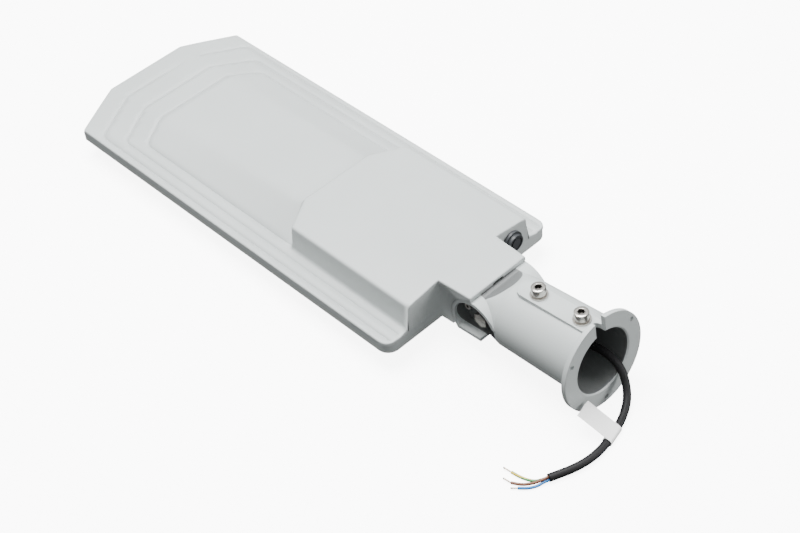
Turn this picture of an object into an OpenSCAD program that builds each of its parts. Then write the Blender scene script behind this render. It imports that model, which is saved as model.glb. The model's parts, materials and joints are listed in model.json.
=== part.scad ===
// Street lamp head on a tilting pole spigot, in millimetres.
// Origin: centre of the spigot's mouth. +Y runs from the mouth to the lamp's tip, +Z is up.

/* [Head] */
// Width of the head across its side edges
head_w = 201; // [180:1:260]
// Length from the tilt axis to the tip
head_len = 507; // [470:1:620]
// Width of the straight edge at the tip
tip_w = 90; // [60:1:120]
// How far the side corners stand back from the tip
nose_set = 26; // [16:1:40]
// Depth of the rim's side wall
rim_h = 12.5; // [10:0.5:18]
// Rise of the outer strips between the edge and the roof
strip_rise = 2.2; // [1:0.1:4]
// Width of each outer strip beside the roof
strip_w = 9; // [6:0.5:12]
// Height of the tip's top edge over the side edges
tip_rise = 5; // [3:0.5:8]
// Slope of the raised centre panel, in degrees
roof_slope = 3.4; // [2:0.1:3.8]
// Thickness of the cast skin
skin = 3; // [2:0.1:4]

/* [Driver hump] */
// Width of the hump at its foot
hump_w = 150; // [140:1:170]
// Distance from the tilt axis to the hump's front
hump_front = 209; // [200:1:260]
// How far the hump's front corners stand back
hump_set = 18; // [10:1:26]
// Height of the hump's side edges over the rim's edge
hump_h = 27.5; // [25:0.5:36]

/* [Neck and tilt joint] */
// Distance from the tilt axis to the head's rear wall
neck_len = 38; // [36:1:50]
// Width of the neck
neck_w = 68; // [62:1:80]
// Radius of the tilt drum
drum_r = 27; // [25:0.5:30]
// Thickness of the neck's top plate at its rear edge
neck_plate = 4.8; // [3:0.1:7]
// Height from the drum's axis to its flat underside
drum_cut = 15.5; // [13:0.5:18]
// Diameter of the pivot bolts
pivot_d = 8; // [6:1:10]
// Tilt of the head over the spigot at rest, in degrees
rest_tilt = 4; // [0:1:10]

/* [Spigot] */
// Bore for the pole's end
bore_d = 61; // [50:0.5:66]
// Depth of the bore
bore_len = 85; // [70:1:88]
// Distance from the mouth to the tilt axis, along the bore
spigot_len = 118.5; // [116:0.5:150]
// How far the tilt axis lies below the bore's axis
axis_drop = 5; // [0:0.5:8]
// Outside diameter of the tube at its mouth
tube_d = 69.8; // [69:0.2:76]
// Outside diameter of the tube at its inner end
tube_end_d = 66; // [65:0.2:69]
// Diameter of the mouth's flange
flange_d = 93; // [90:1:110]
// Thickness of the mouth's flange
flange_t = 4.5; // [3:0.5:8]
// Diameter of the circle through the flange's holes
flange_pcd = 84; // [80:0.5:84]
// Diameter of the flange's holes
flange_hole_d = 4.5; // [3:0.1:5]
// Width of the notch in the mouth
notch_w = 11.5; // [8:0.5:14]
// Length of the notch
notch_len = 11; // [8:0.5:11.5]
// Size of the clamp screws' thread
clamp_d = 8; // [6:1:8]
// Distance of the first clamp screw from the mouth
clamp_y = 20.5; // [20:0.5:24]
// Distance between the clamp screws
clamp_pitch = 48; // [40:1:52]

/* [Light unit] */
// Columns of light boards
board_cols = 2; // [1:1:3]
// Rows of light boards
board_rows = 2; // [1:1:3]
// Rows of light sources on a board, across the head
led_nx = 2; // [1:1:3]
// Rows of light sources on a board, along the head
led_ny = 6; // [3:1:8]
// Thickness of the glass
glass_t = 4; // [3:0.5:5]
// Height of a lens over its plate
lens_h = 3.6; // [2.5:0.1:4]

/* [Cable] */
// Diameter of the supply cable
cable_d = 7.2; // [6:0.2:9]
// Diameter of a core
core_d = 2.6; // [2:0.1:3.2]

/* [Hidden] */
$fn = 64;

// Clearances
gap = 0.3;        // between pieces on different bodies
fit = 0.05;       // round a pin or screw in its hole
drum_gap = 0.7;   // between the drum and the neck
eps = 0.02;       // thickness of a hull's construction slices

// Colours
paint = [0.80, 0.82, 0.82];
steel = [0.78, 0.78, 0.76];
rubber = [0.12, 0.12, 0.12];

// Head, measured from the tilt axis: x across, y towards the tip, z up
hw = head_w / 2;
tip_hw = tip_w / 2;
edge_z = -0.4;                              // top of the rim's side wall
rim_z = edge_z - rim_h;                     // underside of the rim
strip_z = edge_z + strip_rise;              // foot of the roof and the hump
strip_x = hw - 3 * strip_w;                 // line where the strips meet the roof
corner_y = head_len - nose_set;             // side corners of the nose
tip_z = edge_z + tip_rise;
wall_t = 4;                                 // thickness of the rear wall
plate_rear = 1.5;                           // rear edge of the neck's plate
plate_top = drum_r + drum_gap + neck_plate; // top of the neck's plate
neck_hw = neck_w / 2;
neck_root_hw = neck_hw + 1.8;               // half width of the neck at the rear wall
hump_hw = hump_w / 2;
hump_top_hw = hump_hw - 2;
hump_z = edge_z + hump_h;
crown_hw = tip_hw * 0.8;                    // ridge lines run in towards the neck
function roof_z(y) = tip_z + (head_len - y) * tan(roof_slope);

// Driver bay, open downwards
bay_x = hump_top_hw - skin;
bay_y0 = neck_len + wall_t;
bay_y1 = hump_front - skin - 1;
bay_top = hump_z - skin;
bay_lip = 8;                                // lip that the seal sits on, at the rear
hub_wall = 5;
hub_y = drum_r + drum_gap + hub_wall;       // inner face of the wall that holds the gland
// Door rebate and hinge
reb_x = bay_x + 19;
reb_y0 = bay_y0 - 1.5;
reb_y1 = hump_front + 9;
reb_d = 4.6;
reb_z = rim_z + reb_d;
hinge_y = reb_y1 - 3.5;
hinge_z = rim_z + 1;
hinge_r = 3;
pin_r = 1.5;
knuckle_x = bay_x - 11;
knuckle_w = 14;
ear_w = 7;
seal_w = 5;
seal_t = 1.4;
door_t = reb_d - seal_t - gap;
door_x = reb_x - 1;
door_y0 = reb_y0 + 1;
door_y1 = hinge_y - hinge_r - 1.8;
door_screw_x = bay_x + 12.5;
door_screw_y = bay_y0 + 11;
// Light unit
unit_y0 = reb_y1 + 1;                       // rear edge of the glass frame
unit_y1 = corner_y - 3;                     // front edge of the glass frame
unit_x = hw - 4;
frame_lip = 7;                              // frame's overlap on the glass
frame_w = 9;                                // frame's width outside the glass
frame_screw_in = 4.3;                       // frame screws' distance from the frame's edge
glass_x = unit_x - frame_w;
glass_y0 = unit_y0 + frame_w;
glass_y1 = unit_y1 - frame_w;
seat_d = 2;                                 // depth of the glass rebate
seat_z = rim_z + seat_d;
gasket_t = 1.5;
glass_z = seat_z - gasket_t - glass_t;      // underside of the glass
frame_z = glass_z - 2;                      // underside of the frame
chamber_x = glass_x - frame_lip;
chamber_y0 = glass_y0 + frame_lip;
chamber_y1 = glass_y1 - frame_lip;
chamber_top = edge_z - skin;
board_gap = 6;
board_t = 1.6;
board_w = (2 * chamber_x - (board_cols + 1) * board_gap) / board_cols;
board_l = (chamber_y1 - chamber_y0 - (board_rows + 1) * board_gap) / board_rows;
board_z = chamber_top - board_t;            // underside of the boards
chip = 3.5;
chip_t = 0.8;
lens_t = 2;
lens_z = board_z - lens_t;                  // underside of the lens plates
lens_r = 6;
// Gear in the bay
tray_t = 1.5;
tray_z = bay_top - 6;
tray_x = bay_x - 9;
tray_y0 = bay_y0 + 14;
tray_y1 = bay_y1 - 14;
gear_z = tray_z - tray_t;                   // face that the gear hangs from
driver_w = 60;
driver_h = 21;
driver_l = tray_y1 - tray_y0 - 14;
driver_x = -tray_x + 3;
driver_y = tray_y0 + 8;
lead_y = driver_y + driver_l - 10;          // end of the driver where the output leads leave
surge_x = 16;
surge_w = 34;
surge_l = 52;
surge_h = 20;
block_w = 40;
block_l = 22;
block_h = 18;
boss_r = 4;
gland_z = 5.5;                              // the gland sits a little over the tilt axis
gland_r = 7;
gland_hex = 10;
tail_end = 57;
// Tilt joint
lug_x0 = 9;                                 // lugs of the head, between the drum's cups
lug_x1 = 14;
lug_r = 11;
cup_floor = 4;
cup_x0 = lug_x1 + gap + 0.3;
cup_x1 = cup_x0 + cup_floor;                // outer face of a cup's floor
cup_wall = 3.6;
drum_hw = neck_hw - 0.5;
washer_t = 1.6;
pivot_r = pivot_d / 2;
lock_y = 11;                                // lock screw, on the +Y and +Z side of the axis
lock_z = 12.5;
lock_r = 2;
lock_boss_r = 5;
lock_boss_x = 24.5;                         // outer face of the lock screw's boss
lug_top = 16;                               // lugs' upper edge, where the lock screw bears
// Breather on the rear wall
breather_x = neck_root_hw + 17.5;
breather_z = 14.5;
breather_r = 10.3;
breather_hole_r = 6;
// Spigot
strip_top = 35.5;                           // height of the screw strip over the bore's axis
strip_half = 10;
strip_end = clamp_y + clamp_pitch + 12;
clamp_r = clamp_d / 2;
clamp_head_r = clamp_d * 0.8125;
throat_y = spigot_len - 5;                  // narrowest place behind the drum
throat_hw = 22;                             // half width of the throat
cup_open_y = -6;                            // a cup's rim is open behind and below this point
cup_open_z = 8;
lock_head_h = 4;

// Frames
module on_spigot() {
    rotate([-rest_tilt, 0, 0]) children();
}
module on_head() {
    rotate([-rest_tilt, 0, 0]) translate([0, spigot_len, -axis_drop]) rotate([rest_tilt, 0, 0]) children();
}
module mirrored() {
    children();
    mirror([1, 0, 0]) children();
}

// Shared shapes
module along_y(r, h) {
    rotate([-90, 0, 0]) cylinder(r = r, h = h);
}
module along_x(r, x0, x1) {
    translate([x0, 0, 0]) rotate([0, 90, 0]) cylinder(r = r, h = x1 - x0);
}
module box(x0, x1, y0, y1, z0, z1) {
    translate([x0, y0, z0]) cube([x1 - x0, y1 - y0, z1 - z0]);
}
module hull_of(points) {
    hull() for (p = points) translate(p) cube(eps, center = true);
}
function both(points) = concat(points, [for (p = points) [-p[0], p[1], p[2]]]);
function arc(cx, cy, r, a0, a1, n) =
    [for (i = [0:n]) [cx + r * cos(a0 + (a1 - a0) * i / n), cy + r * sin(a0 + (a1 - a0) * i / n)]];
// Rounded rectangle with corners of radius r
module plate(x, y0, y1, r) {
    polygon(concat(arc(x - r, y1 - r, r, 0, 90, 6), arc(-x + r, y1 - r, r, 90, 180, 6),
        arc(-x + r, y0 + r, r, 180, 270, 6), arc(x - r, y0 + r, r, 270, 360, 6)));
}
module slab(x, y0, y1, r, z0, z1) {
    translate([0, 0, z0]) linear_extrude(z1 - z0) plate(x, y0, y1, r);
}
module hex_x(af, x0, x1) {
    translate([x0, 0, 0]) rotate([0, 90, 0]) cylinder(d = af / cos(30), h = x1 - x0, $fn = 6);
}
// Socket-head cap screw: head's underside at z = 0, shank downwards
module cap_screw(d, head_r, head_h, shank) {
    difference() {
        cylinder(r = head_r, h = head_h);
        translate([0, 0, head_h * 0.45]) cylinder(d = head_r * 1.05, h = head_h, $fn = 6);
    }
    translate([0, 0, -shank]) cylinder(d = d, h = shank);
}
// Tube swept along points: one ring of n corners at each point
function unit(v) = v / norm(v);
function tangent(p, i) = unit(p[min(i + 1, len(p) - 1)] - p[max(i - 1, 0)]);
function ring(p, i, r, n, up) =
    let (t = tangent(p, i), a = unit(cross(up, t)), b = cross(t, a))
    [for (k = [0:n - 1]) p[i] + r * (a * cos(360 * k / n) + b * sin(360 * k / n))];
module swept(p, r, n, up, first_r = 0) {
    m = len(p);
    polyhedron(
        points = [for (i = [0:m - 1]) each ring(p, i, i == 0 && first_r > 0 ? first_r : r, n, up)],
        faces = concat(
            [[for (k = [0:n - 1]) k]],
            [[for (k = [0:n - 1]) m * n - 1 - k]],
            [for (i = [0:m - 2]) for (k = [0:n - 1])
                [i * n + k, (i + 1) * n + k, (i + 1) * n + (k + 1) % n, i * n + (k + 1) % n]]));
}

// Cable routes, chosen by hand: the supply cable's from the mouth, the tail's from the tilt axis
lay_z = -43.1;
cable_route = [[0, 117.5, -13.2], [0, 116, -13.2], [0, 106, -13.4], [1, 92, -13.5], [4, 76, -13.5], [8, 60, -13],
    [12, 44, -12.5], [15.5, 28, -12.5], [17.5, 14, -13.5], [18, 2, -17.5], [16.5, -6, -23],
    [14, -11.5, -29], [9.5, -17, -34.5], [3, -22, -38.5], [-6, -26.5, -41.5], [-16, -30, -43],
    [-27, -33, lay_z], [-39, -35.5, lay_z], [-51, -36.5, lay_z], [-63, -35.5, lay_z],
    [-75, -32.5, lay_z], [-85.5, -28.5, lay_z], [-95, -24.5, lay_z]];
tail_route = [[0, 0.3, 0], [0, 1.8, 0.1], [0, 8, 0.8], [0, 15, 2.6], [0, 21, 4.6], [0, 27, 5.5],
    [0, 42, 5.5], [0, 57, 5.5]];
green_route = [[-94.5, -23.2, -43.9], [-99.2, -21.1, -44.2], [-103.5, -17.5, -45],
    [-106.5, -12, -45.3], [-108.5, -5, -45.3], [-109.6, 3, -45.3]];
brown_route = [[-95.1, -24.5, -41.5], [-100.3, -22.5, -42.2], [-106.5, -18.5, -44],
    [-111.5, -13.5, -45.3], [-115, -9, -45.3], [-117.7, -4, -45.3]];
blue_route = [[-95.6, -25.8, -43.9], [-100.4, -24, -44.3], [-106.5, -21.8, -45.3],
    [-112.5, -18, -45.3], [-118, -12, -45.3]];
green_end = [[-109.6, 3.4, -45.3], [-110.5, 11.5, -45.3]];
brown_end = [[-117.8, -3.6, -45.3], [-118.6, 4, -45.3]];
blue_end = [[-118.3, -11.6, -45.3], [-122, -7.5, -45.3]];

// ---- Spigot ----
module clamp_places() {
    for (i = [0:1]) translate([0, clamp_y + i * clamp_pitch, 0]) children();
}
module at_axis() {
    translate([0, spigot_len, -axis_drop]) children();
}
// Drum, and the throat that joins it to the tube
module drum() {
    throat_h = drum_cut + drum_r;
    at_axis() difference() {
        along_x(drum_r, -drum_hw, drum_hw);
        box(-drum_hw - 1, drum_hw + 1, -drum_r - 1, drum_r + 1, -drum_r - 1, -drum_cut);
        mirrored() box(throat_hw, drum_hw + 1, -drum_r - 1, cup_open_y, -drum_r, cup_open_z);
    }
    hull() {
        translate([0, bore_len + 8, 0]) along_y(tube_end_d / 2, 1);
        translate([-throat_hw, throat_y, -axis_drop - drum_cut]) cube([2 * throat_hw, 1, throat_h - 1]);
    }
    hull() {
        translate([-throat_hw, throat_y, -axis_drop - drum_cut]) cube([2 * throat_hw, 1, throat_h - 1]);
        translate([-throat_hw, spigot_len, -axis_drop - drum_cut])
            cube([2 * throat_hw, 1, throat_h - 2]);
    }
}
// Cups in the drum's ends, for the pivot bolts' heads, and the slot for the head's lugs
module drum_cuts() {
    at_axis() {
        mirrored() intersection() {
            along_x(drum_r - cup_wall, cup_x1, drum_hw + 1);
            box(cup_x1, drum_hw + 1, -drum_r, drum_r, cup_wall - drum_cut, drum_r);
        }
        intersection() {
            box(-cup_x0, cup_x0, -26, drum_r + 1, -drum_cut - 1, drum_r);
            along_x(drum_r - cup_wall, -cup_x0, cup_x0);
        }
        box(-cup_x0, cup_x0, drum_r * 0.45, drum_r + 1, -drum_r, drum_r + 1);
    }
}
module bore_cuts() {
    translate([0, -1, 0]) along_y(bore_d / 2, bore_len + 1);
    translate([0, -0.01, 0]) rotate([-90, 0, 0]) cylinder(d1 = bore_d + 3, d2 = bore_d, h = 1.5);
    box(-notch_w / 2, notch_w / 2, -1, notch_len - notch_w / 2, bore_d / 2 - 3, flange_d);
    translate([0, notch_len - notch_w / 2, bore_d / 2 - 3]) cylinder(d = notch_w, h = flange_d);
    for (a = [30, 150, 270]) rotate([0, -a, 0]) translate([flange_pcd / 2, -1, 0])
        along_y(flange_hole_d / 2, flange_t + 2);
    clamp_places() translate([0, 0, bore_d / 2 - 2]) cylinder(r = clamp_r + fit, h = strip_top);
}
module spigot_bracket() {
    color(paint) on_spigot() difference() {
        union() {
            difference() {
                union() {
                    along_y(flange_d / 2, flange_t);
                    rotate([-90, 0, 0]) cylinder(d1 = tube_d, d2 = tube_end_d, h = bore_len + 9);
                    box(-strip_half, strip_half, 0, strip_end, 0, strip_top);
                    translate([0, strip_end, 0]) cylinder(r = strip_half, h = strip_top);
                    drum();
                }
                drum_cuts();
            }
            at_axis() translate([0, lock_y, lock_z]) along_x(lock_boss_r, -lock_boss_x, -cup_x0);
        }
        bore_cuts();
        // Cable way from the bore to the drum
        translate([0, bore_len - 0.01, 0]) rotate([-90, 0, 0])
            cylinder(r1 = bore_d / 2 - 3.5, r2 = lug_x1, h = 17);
        at_axis() {
            mirrored() along_x(pivot_r + fit, 0, drum_hw);
            translate([0, lock_y, lock_z]) along_x(lock_r + fit, -lock_boss_x - 1, 0);
        }
    }
}
module clamp_screws() {
    color(steel) on_spigot() clamp_places() translate([0, 0, strip_top + washer_t])
        cap_screw(clamp_d, clamp_head_r, clamp_d, strip_top + washer_t - bore_d / 2 - 0.5);
}
module clamp_washers() {
    color(steel) on_spigot() clamp_places() translate([0, 0, strip_top]) difference() {
        cylinder(r = clamp_d, h = washer_t);
        translate([0, 0, -1]) cylinder(r = clamp_r + fit, h = washer_t + 2);
    }
}
module angle_lock_screw() {
    color(steel) on_spigot() translate([-lock_boss_x, spigot_len + lock_y, lock_z - axis_drop])
        rotate([0, -90, 0]) cap_screw(2 * lock_r, 3.5, lock_head_h, lock_boss_x - cup_x0 - 0.2);
}

// ---- Cable ----
module supply_cable() {
    color(rubber) swept(cable_route, cable_d / 2, 12, [0, 0, 1], cable_d * 0.28);
}
label_t = 0.4;
label_l = 33;
label_w = 18;
label_slack = 0.35;
label_at = [-27.5, -33, lay_z];
module cable_label() {
    color("white") translate(label_at) rotate([0, 0, 193.5]) {
        difference() {
            translate([-label_w / 2, 0, 0]) rotate([0, 90, 0]) cylinder(r = cable_d / 2 + label_slack + label_t, h = label_w);
            translate([-label_w, 0, 0]) rotate([0, 90, 0]) cylinder(r = cable_d / 2 + label_slack, h = 2 * label_w);
        }
        rotate([-28, 0, 0]) translate([-label_w / 2, -label_l, cable_d / 2 + label_slack])
            cube([label_w, label_l, label_t]);
    }
}
module core_green_yellow() {
    color([0.45, 0.65, 0.15]) swept(green_route, core_d / 2, 8, [0, 0, 1]);
}
module core_brown() {
    color([0.45, 0.25, 0.12]) swept(brown_route, core_d / 2, 8, [0, 0, 1]);
}
module core_blue() {
    color([0.1, 0.35, 0.7]) swept(blue_route, core_d / 2, 8, [0, 0, 1]);
}
module core_ends() {
    color(steel) for (p = [green_end, brown_end, blue_end]) swept(p, 0.7, 8, [0, 0, 1]);
}

// ---- Housing ----
module outline() {
    r = 12;
    polygon(concat([[tip_hw, head_len], [-tip_hw, head_len], [-hw, corner_y]],
        arc(-hw + r, neck_len + r, r, 180, 270, 6), arc(hw - r, neck_len + r, r, 270, 360, 6),
        [[hw, corner_y]]));
}
module bay_plan(y0) {
    x = bay_x;
    y1 = bay_y1;
    polygon([[x, y0], [x, y1 - hump_set], [crown_hw, y1], [-crown_hw, y1], [-x, y1 - hump_set],
        [-x, y0]]);
}
module shell() {
    foot_y = corner_y - 3 * strip_w * 2;
    translate([0, 0, rim_z]) linear_extrude(rim_h) outline();
    // Outer strips
    hull() {
        translate([0, 0, edge_z - eps]) linear_extrude(eps) outline();
        hull_of(both([[tip_hw, head_len - eps, tip_z], [strip_x, foot_y, strip_z],
            [strip_x, neck_len + eps, strip_z]]));
    }
    // Roof
    hull_of(both([[tip_hw, head_len - eps, tip_z], [strip_x, foot_y, strip_z],
        [strip_x, neck_len + eps, strip_z], [strip_x, foot_y, edge_z - eps],
        [strip_x, neck_len + eps, edge_z - eps], [tip_hw, head_len - eps, edge_z - eps],
        [crown_hw, neck_len + eps, min(roof_z(neck_len), plate_top - 0.5)]]));
    // Hump
    hull_of(both([[hump_hw, neck_len + eps, edge_z], [hump_hw, hump_front - hump_set, edge_z],
        [crown_hw + 3, hump_front + 2, edge_z], [hump_top_hw, neck_len + eps, hump_z],
        [hump_top_hw, hump_front - hump_set, hump_z], [crown_hw + 3, hump_front, hump_z],
        [neck_root_hw, neck_len + eps, plate_top]]));
    // Neck
    difference() {
        translate([0, 0, rim_z]) linear_extrude(plate_top - rim_z)
            polygon([[neck_hw, plate_rear], [neck_root_hw, bay_y0], [-neck_root_hw, bay_y0],
                [-neck_hw, plate_rear]]);
        along_x(drum_r + drum_gap, -neck_w, neck_w);
        box(-6, 6, 0, 6, drum_r, drum_r + drum_gap + 2.2);
    }
    // Lugs for the pivot bolts
    mirrored() {
        along_x(lug_r, lug_x0, lug_x1);
        box(lug_x0, lug_x1, 2, drum_r + 3, -lug_r, lug_top);
    }
}
module door_screw_places() {
    mirrored() translate([door_screw_x, door_screw_y, 0]) children();
}
module tray_bosses() {
    mirrored() for (y = [tray_y0 + 5, tray_y1 - 5]) translate([tray_x - 6, y, 0]) children();
}
module board_places() {
    for (i = [0:board_cols - 1]) for (j = [0:board_rows - 1])
        translate([-chamber_x + board_gap + i * (board_w + board_gap),
            chamber_y0 + board_gap + j * (board_l + board_gap), 0]) children();
}
module lens_screw_places() {
    board_places() for (f = [0, 1]) translate([board_w / 2, 5 + f * (board_l - 10), 0]) children();
}
module frame_screw_places() {
    e = frame_screw_in;
    span = unit_y1 - unit_y0 - 18;
    mirrored() for (i = [0:3]) translate([unit_x - e, unit_y0 + 9 + i * span / 3, 0]) children();
    mirrored() for (y = [unit_y0 + e, unit_y1 - e]) translate([unit_x / 3, y, 0]) children();
}
module housing() {
    color(paint) on_head() {
        difference() {
            shell();
            // Driver bay and the hollow under the roof
            translate([0, 0, reb_z + 3]) linear_extrude(bay_top - reb_z - 3) bay_plan(bay_y0);
            translate([0, 0, rim_z - 1]) linear_extrude(reb_z + 4.1 - rim_z) bay_plan(bay_y0 + bay_lip);
            box(-neck_hw + hub_wall, neck_hw - hub_wall, hub_y, bay_y0 + 0.1, reb_z + 3, bay_top);
            hull_of(both([[crown_hw, bay_y1 - 8, edge_z], [crown_hw, bay_y1 - 8, roof_z(bay_y1) - skin - 1],
                [bay_x - 10, bay_y1 - 8 - hump_set, edge_z],
                [strip_x - 12, chamber_y0 + 40, edge_z],
                [crown_hw - 6, chamber_y1 - 30, edge_z],
                [crown_hw - 6, chamber_y1 - 30, roof_z(chamber_y1 - 30) - skin - 1]]));
            // Door rebate, with pockets for the hinge knuckles
            slab(reb_x, reb_y0, reb_y1, 4, rim_z - 1, reb_z);
            translate([0, hinge_y, hinge_z]) mirrored()
                along_x(hinge_r + 0.5, knuckle_x - knuckle_w / 2 - gap, knuckle_x + knuckle_w / 2 + gap);
            door_screw_places() translate([0, 0, rim_z]) cylinder(r = 3.6, h = 11);
            // Light unit
            slab(glass_x + gap, glass_y0 - gap, glass_y1 + gap, 6, rim_z - 1, seat_z);
            slab(chamber_x, chamber_y0, chamber_y1, 4, rim_z - 1, chamber_top);
            lens_screw_places() translate([0, 0, chamber_top - 1]) cylinder(r = 1.5 + fit, h = 3);
            frame_screw_places() translate([0, 0, rim_z - 1]) cylinder(r = 2 + fit, h = 8);
            translate([0, chamber_y0 + 8, chamber_top - 1]) cylinder(r = 5, h = skin + 6);
            // Gland, breather and pivot holes
            translate([0, hub_y - hub_wall - 2, gland_z]) along_y(gland_r + fit, hub_wall + 4);
            translate([breather_x, neck_len - 1, breather_z]) along_y(breather_hole_r + fit, wall_t + 2);
            mirrored() along_x(pivot_r + fit, 0, neck_w);
        }
        // Bosses for the gear tray
        tray_bosses() difference() {
            translate([0, 0, tray_z]) cylinder(r = boss_r, h = bay_top - tray_z + 0.5);
            translate([0, 0, tray_z - 1]) cylinder(r = 1.5 + fit, h = 5);
        }
        // Hinge ears
        mirrored() for (s = [-1, 1]) translate([knuckle_x + s * (knuckle_w / 2 + gap + ear_w / 2), 0, 0])
            difference() {
                box(-ear_w / 2, ear_w / 2, hinge_y - hinge_r, hinge_y + hinge_r, hinge_z - hinge_r, reb_z + 0.5);
                translate([0, hinge_y, hinge_z]) along_x(pin_r + fit, -ear_w, ear_w);
            }
    }
}

// ---- Tilt joint's fasteners ----
module pivot_bolts() {
    head_x = cup_x1 + gap + washer_t;
    color(steel) on_head() mirrored() {
        along_x(pivot_r, lug_x0, head_x + 1);
        hex_x(13, head_x, head_x + 5.5);
    }
}
module pivot_washers() {
    color(steel) on_head() mirrored() difference() {
        along_x(pivot_d, cup_x1 + gap, cup_x1 + gap + washer_t);
        along_x(pivot_r + fit, cup_x1, cup_x1 + 5);
    }
}

// ---- Light unit ----
module led_boards() {
    color([0.92, 0.93, 0.92]) on_head() difference() {
        board_places() translate([0, 0, board_z]) cube([board_w, board_l, board_t]);
        lens_screw_places() translate([0, 0, board_z - 1]) cylinder(r = 1.6, h = board_t + 2);
    }
}
module chip_places() {
    board_places() for (i = [0:led_nx - 1]) for (j = [0:led_ny - 1])
        translate([board_w * (i + 0.5) / led_nx, 10 + (board_l - 20) * (j + 0.5) / led_ny, 0]) children();
}
module led_chips() {
    color([0.95, 0.85, 0.3]) on_head() chip_places() translate([-chip / 2, -chip / 2, board_z - chip_t])
        cube([chip, chip, chip_t]);
}
module lens_plates() {
    sphere_r = (lens_r * lens_r + lens_h * lens_h) / (2 * lens_h);
    color([0.85, 0.9, 0.95, 0.6]) on_head() difference() {
        union() {
            board_places() translate([1, 1, lens_z]) cube([board_w - 2, board_l - 2, lens_t]);
            chip_places() intersection() {
                translate([0, 0, lens_z + sphere_r - lens_h]) sphere(r = sphere_r, $fn = 32);
                translate([0, 0, lens_z - lens_h]) cylinder(r = lens_r, h = lens_h + 1);
            }
        }
        chip_places() translate([0, 0, board_z - chip_t - 0.4]) cylinder(r = 2.8, h = 5);
        lens_screw_places() translate([0, 0, lens_z - 1]) cylinder(r = 1.6, h = lens_t + 2);
    }
}
module lens_screws() {
    color(steel) on_head() lens_screw_places() {
        translate([0, 0, lens_z]) mirror([0, 0, 1]) cylinder(r = 2.8, h = 1.8);
        translate([0, 0, lens_z]) cylinder(r = 1.5, h = lens_t + board_t + 1.8);
    }
}
module glass_gasket() {
    color(rubber) on_head() difference() {
        slab(glass_x, glass_y0, glass_y1, 6, seat_z - gasket_t, seat_z);
        slab(chamber_x + 1, chamber_y0 - 1, chamber_y1 + 1, 4, seat_z - gasket_t - 1, seat_z + 1);
    }
}
module glass_cover() {
    color([0.8, 0.9, 0.9, 0.4]) on_head() slab(glass_x, glass_y0, glass_y1, 6, glass_z, glass_z + glass_t);
}
module glass_frame() {
    color(paint) on_head() difference() {
        slab(unit_x, unit_y0, unit_y1, 8, frame_z, rim_z);
        slab(glass_x + gap, glass_y0 - gap, glass_y1 + gap, 6, glass_z, rim_z + 1);
        slab(glass_x - 5, glass_y0 + 5, glass_y1 - 5, 6, frame_z - 1, rim_z);
        frame_screw_places() {
            translate([0, 0, frame_z - 1]) cylinder(r = 2 + fit, h = rim_z - frame_z + 2);
            translate([0, 0, frame_z - 1]) cylinder(r = 3.7, h = 3.3);
        }
    }
}
module frame_screws() {
    color(steel) on_head() frame_screw_places() translate([0, 0, frame_z + 2.3]) mirror([0, 0, 1])
        cap_screw(4, 3.5, 2.1, 9);
}

// ---- Gear ----
module gear_tray() {
    color([0.7, 0.72, 0.74]) on_head() difference() {
        box(-tray_x, tray_x, tray_y0, tray_y1, gear_z, tray_z);
        tray_bosses() translate([0, 0, gear_z - 1]) cylinder(r = 1.6, h = tray_t + 2);
        box(tray_x - 20, tray_x + 1, tray_y0 + 30, tray_y0 + 48, gear_z - 1, tray_z + 1);
    }
}
module tray_screws() {
    color(steel) on_head() tray_bosses() translate([0, 0, gear_z]) {
        mirror([0, 0, 1]) cylinder(r = 2.8, h = 2);
        cylinder(r = 1.5, h = tray_t + 3);
    }
}
module led_driver() {
    color([0.92, 0.92, 0.9]) on_head() {
        difference() {
            box(driver_x, driver_x + driver_w, driver_y + 10, driver_y + driver_l - 10, gear_z - driver_h, gear_z);
            for (i = [1:5]) box(driver_x + i * 10 - 1, driver_x + i * 10 + 1, driver_y, driver_y + driver_l,
                gear_z - driver_h - 1, gear_z - driver_h + 1);
        }
        for (y = [driver_y, lead_y]) box(driver_x + 12, driver_x + driver_w - 12, y, y + 10, gear_z - 2, gear_z);
    }
}
module surge_protector() {
    color([0.85, 0.3, 0.2]) on_head() slab_at(surge_x, surge_x + surge_w, tray_y1 - 6 - surge_l, tray_y1 - 6,
        gear_z - surge_h, gear_z);
}
module slab_at(x0, x1, y0, y1, z0, z1) {
    translate([(x0 + x1) / 2, 0, 0]) slab((x1 - x0) / 2, y0, y1, 3, z0, z1);
}
block_y = tray_y0 + 6;
module terminal_block() {
    color([0.9, 0.9, 0.88]) on_head() difference() {
        box(surge_x - 4, surge_x - 4 + block_w, block_y, block_y + block_l, gear_z - block_h, gear_z);
        for (i = [0:2]) translate([surge_x + 2 + i * 14, 0, gear_z - block_h / 2]) {
            translate([0, block_y - 1, 0]) along_y(1.6, block_l + 2);
            translate([0, block_y + 6, -block_h]) cylinder(r = 2.2, h = block_h);
        }
    }
}
module cable_gland() {
    color(rubber) on_head() translate([0, 0, gland_z]) difference() {
        union() {
            translate([0, hub_y - hub_wall + 1, 0]) along_y(gland_r, hub_wall);
            translate([0, hub_y, 0]) rotate([-90, 0, 0]) cylinder(r = gland_hex, h = 5, $fn = 6);
            translate([0, hub_y + 5, 0]) along_y(6, 6);
        }
        translate([0, hub_y - hub_wall, 0]) along_y(cable_d / 2 + fit, 30);
    }
}
module gland_nut() {
    color(rubber) on_head() translate([0, 0, gland_z]) difference() {
        union() {
            translate([0, hub_y + 6, 0]) rotate([-90, 0, 0]) cylinder(r = gland_hex - 1, h = 6, $fn = 6);
            translate([0, hub_y + 12, 0]) rotate([-90, 0, 0]) cylinder(r1 = gland_hex - 2, r2 = 5.5, h = 3);
        }
        translate([0, hub_y + 5, 0]) along_y(6 + fit, 6 + fit);
        translate([0, hub_y, 0]) along_y(cable_d / 2 + fit, 30);
    }
}
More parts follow.
